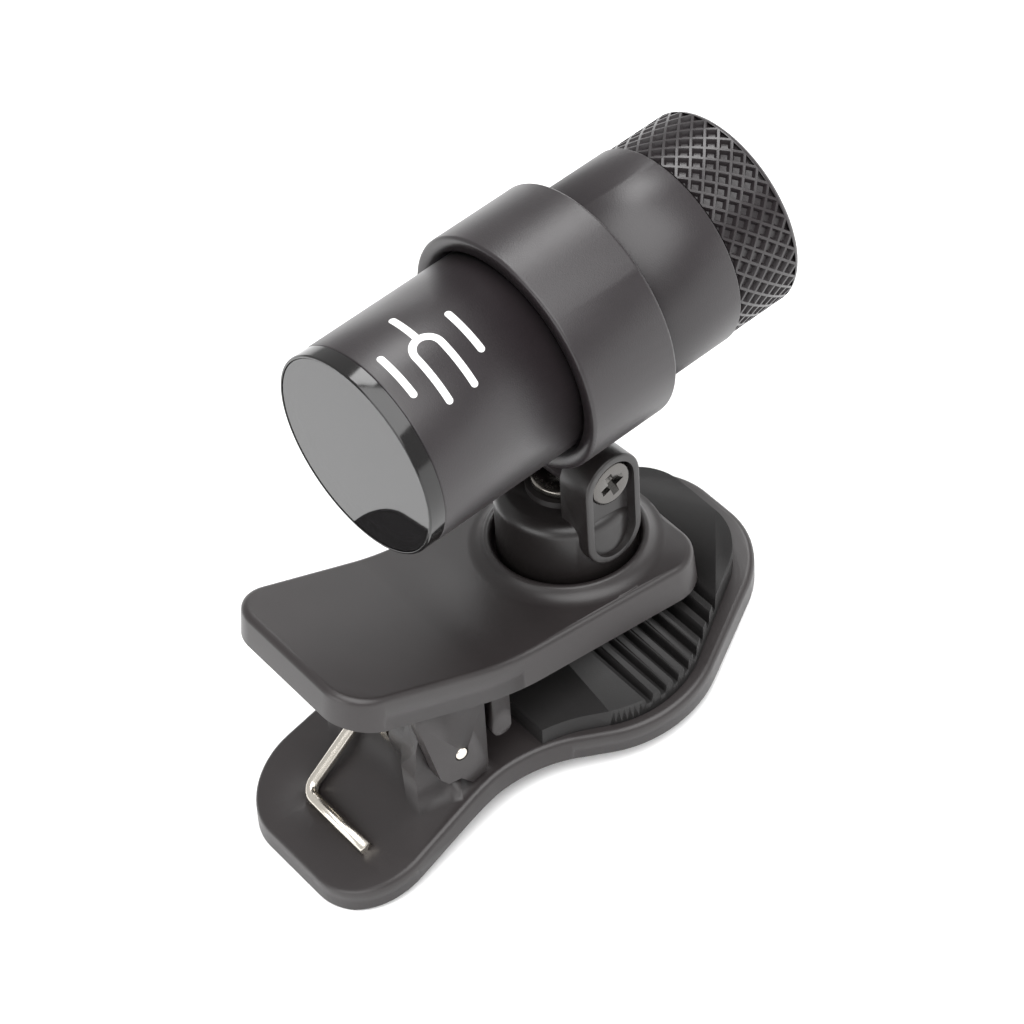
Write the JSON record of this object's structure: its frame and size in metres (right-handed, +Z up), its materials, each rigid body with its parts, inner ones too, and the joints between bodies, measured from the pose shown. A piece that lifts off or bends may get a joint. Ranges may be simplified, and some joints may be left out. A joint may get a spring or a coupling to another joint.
{
  "type": "clip-on tuner",
  "caption": "Clip-on instrument tuner: a round display barrel in a tilting collar on a swivelling yoke, carried by a spring clip with rubber jaws.",
  "frame": {"origin": "centre of the bounding box at the table, where the lower lever rests on its two ends", "axes": "+X to the right seen from the display, +Y from the handles to the jaw tip and the knurled end, +Z up"},
  "size_m": [0.039, 0.0814, 0.0631],
  "materials": {
    "black_plastic": "satin, finely grained",
    "gloss_black": "polished",
    "window": "polished, smoked",
    "display_glass": "polished",
    "white_plastic": "milky",
    "grey_plastic": "matte",
    "black_rubber": "matte",
    "circuit_board": "solder mask",
    "chip_black": "matte",
    "brass": "plain",
    "cell_steel": "brushed",
    "nickel": "nickel plated",
    "black_steel": "blackened",
    "foam": "soft foam"
  },
  "bodies": {
    "lower": {"lower_lever": "black_plastic", "lower_pad": "black_rubber", "hinge_pin": "nickel", "spring_bush": "grey_plastic", "torsion_spring": "nickel"},
    "upper": {"upper_lever": "black_plastic", "upper_pad": "black_rubber", "swivel_screw": "nickel", "swivel_nut": "nickel"},
    "yoke": {"swivel_yoke": "black_plastic", "tilt_screw": "black_steel", "tilt_nut": "black_steel", "tilt_washers": "grey_plastic"},
    "collar": {"tilt_collar": "black_plastic"},
    "barrel": {"front_tube": "black_plastic", "rear_tube": "black_plastic", "bezel_ring": "gloss_black", "display_window": "window", "window_seal": "black_rubber", "lcd_frame": "grey_plastic", "lcd_panel": "display_glass", "backlight": "white_plastic", "zebra_strips": "black_rubber", "main_board": "circuit_board", "board_chips": "chip_black", "inner_chassis": "grey_plastic", "piezo_sensor": "brass", "coin_cell": "cell_steel", "plus_contact": "nickel", "minus_contact": "nickel"},
    "cap": {"knurled_cap": "black_plastic", "o_ring": "black_rubber", "switch_ring": "nickel", "cell_pressure_pad": "foam"}
  },
  "joints": [
    {"name": "clip_pivot", "type": "hinge", "parent": "lower", "child": "upper", "pos_m": [0, -0.02037, 0.01143], "axis": [1, 0, 0], "range_deg": [0, 24], "stiffness_Nm_per_rad": 0.1, "springref_deg": -80.21, "deforming": ["torsion_spring"]},
    {"name": "swivel", "type": "hinge", "parent": "upper", "child": "yoke", "pos_m": [0, 0.00484, 0.01423], "axis": [0, 0.2762, 0.9611], "continuous": true},
    {"name": "tilt", "type": "hinge", "parent": "yoke", "child": "collar", "pos_m": [0, 0.00879, 0.02797], "axis": [0.9976, 0.067, -0.0193], "range_deg": [-34, 25]},
    {"name": "barrel_roll", "type": "hinge", "parent": "collar", "child": "barrel", "pos_m": [0.00009, 0.01252, 0.04584], "axis": [-0.0696, 0.9766, -0.2037], "continuous": true},
    {"name": "cap_twist", "type": "hinge", "parent": "barrel", "child": "cap", "pos_m": [-0.00112, 0.02957, 0.04228], "axis": [-0.0696, 0.9766, -0.2037], "range_deg": [0, 60]}
  ]
}
